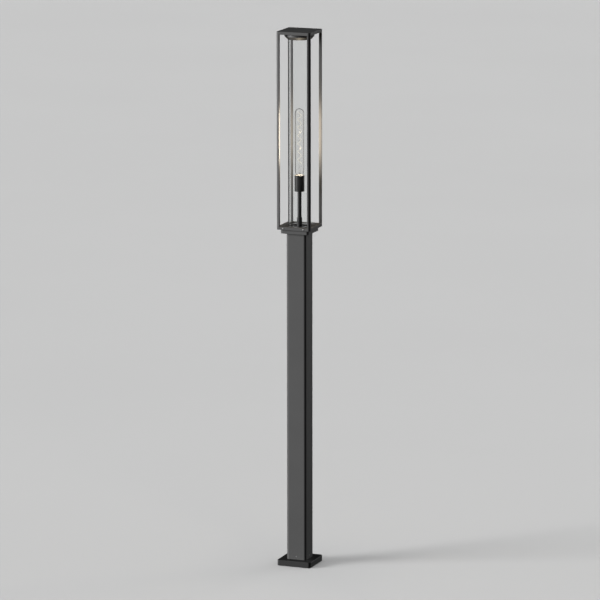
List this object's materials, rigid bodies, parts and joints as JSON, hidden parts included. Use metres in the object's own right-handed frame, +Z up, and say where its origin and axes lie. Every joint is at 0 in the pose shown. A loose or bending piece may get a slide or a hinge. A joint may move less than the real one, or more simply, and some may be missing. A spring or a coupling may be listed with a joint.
{
  "type": "post lantern",
  "caption": "Outdoor post lantern: square post on a covered ground plate, open square lantern frame with a glass cylinder and a long tubular lamp on a stem.",
  "frame": {"origin": "centre of the base on the ground", "axes": "+Z up along the post, -Y towards the front, +X to the right seen from the front"},
  "size_m": [0.12, 0.1224, 1.82],
  "materials": {
    "powder_coat": "satin anthracite powder coat",
    "holder_black": "satin black",
    "black_screw": "blackened steel",
    "galvanised_steel": "zinc coated",
    "stainless_steel": "plain stainless",
    "cast_aluminium": "as cast",
    "brass": "plain",
    "block_plastic": "moulded",
    "lead_brown": "wire insulation",
    "lead_blue": "wire insulation",
    "rubber": "matt silicone",
    "clear_glass": "clear, polished",
    "ceramic": null,
    "solder": "soft solder",
    "cap_insulator": "black vitreous insulator",
    "nickel_cap": "nickel plated",
    "bulb_glass": "clear",
    "filament": "yellow phosphor coating, lit",
    "support_wire": "fine wire"
  },
  "bodies": {
    "post": {"anchor_plate": "galvanised_steel", "bracket_screw": "stainless_steel", "centre_contact": "brass", "collar_screw": "black_screw", "earth_screw": "brass", "floor_plate": "powder_coat", "floor_screws": "black_screw", "head_tray": "powder_coat", "holder_base": "ceramic", "holder_liner": "ceramic", "holder_shell": "brass", "holder_sleeve": "holder_black", "live_lead": "lead_brown", "lower_glass_gasket": "rubber", "lower_nut": "brass", "neutral_lead": "lead_blue", "post_fixing_screws": "stainless_steel", "post_spigot": "galvanised_steel", "post_top_insert": "cast_aluminium", "post_tube": "powder_coat", "stem_collar": "holder_black", "stem_rod": "galvanised_steel", "stem_tube": "holder_black", "terminal_block": "block_plastic", "terminal_bracket": "galvanised_steel", "terminal_screws": "stainless_steel", "tray_screws": "stainless_steel", "upper_nut": "brass"},
    "cover": {"base_cover": "powder_coat"},
    "head": {"bottom_ring": "powder_coat", "corner_bar_front_left": "powder_coat", "corner_bar_front_right": "powder_coat", "corner_bar_back_left": "powder_coat", "corner_bar_back_right": "powder_coat", "corner_screws": "stainless_steel", "side_screws": "stainless_steel", "top_plate": "powder_coat", "top_disc": "powder_coat", "disc_screws": "stainless_steel", "upper_glass_gasket": "rubber", "glass_cylinder": "clear_glass"},
    "lamp_foot": {"bulb_tip": "solder", "bulb_insulator": "cap_insulator"},
    "lamp": {"bulb_cap": "nickel_cap", "bulb_envelope": "bulb_glass", "bulb_stem": "bulb_glass", "filament": "filament", "filament_supports": "support_wire"}
  },
  "joints": [
    {"name": "head_lift", "type": "slide", "parent": "post", "child": "head", "axis": [0, 0, 1], "range_m": [0, 0.45]},
    {"name": "cover_slide", "type": "slide", "parent": "post", "child": "cover", "axis": [0, 0, 1], "range_m": [0, 0.15]},
    {"name": "bulb_rise", "type": "slide", "parent": "post", "child": "lamp_foot", "axis": [0, 0, 1], "range_m": [0, 0.0255]},
    {"name": "bulb_turn", "type": "hinge", "parent": "lamp_foot", "child": "lamp", "pos_m": [0, 0, 1.32], "axis": [0, 0, 1], "range_deg": [0, 2520]}
  ],
  "couplings": [
    {"joint": "bulb_rise", "follows": "bulb_turn", "m_per_rad": 0.00057757}
  ]
}
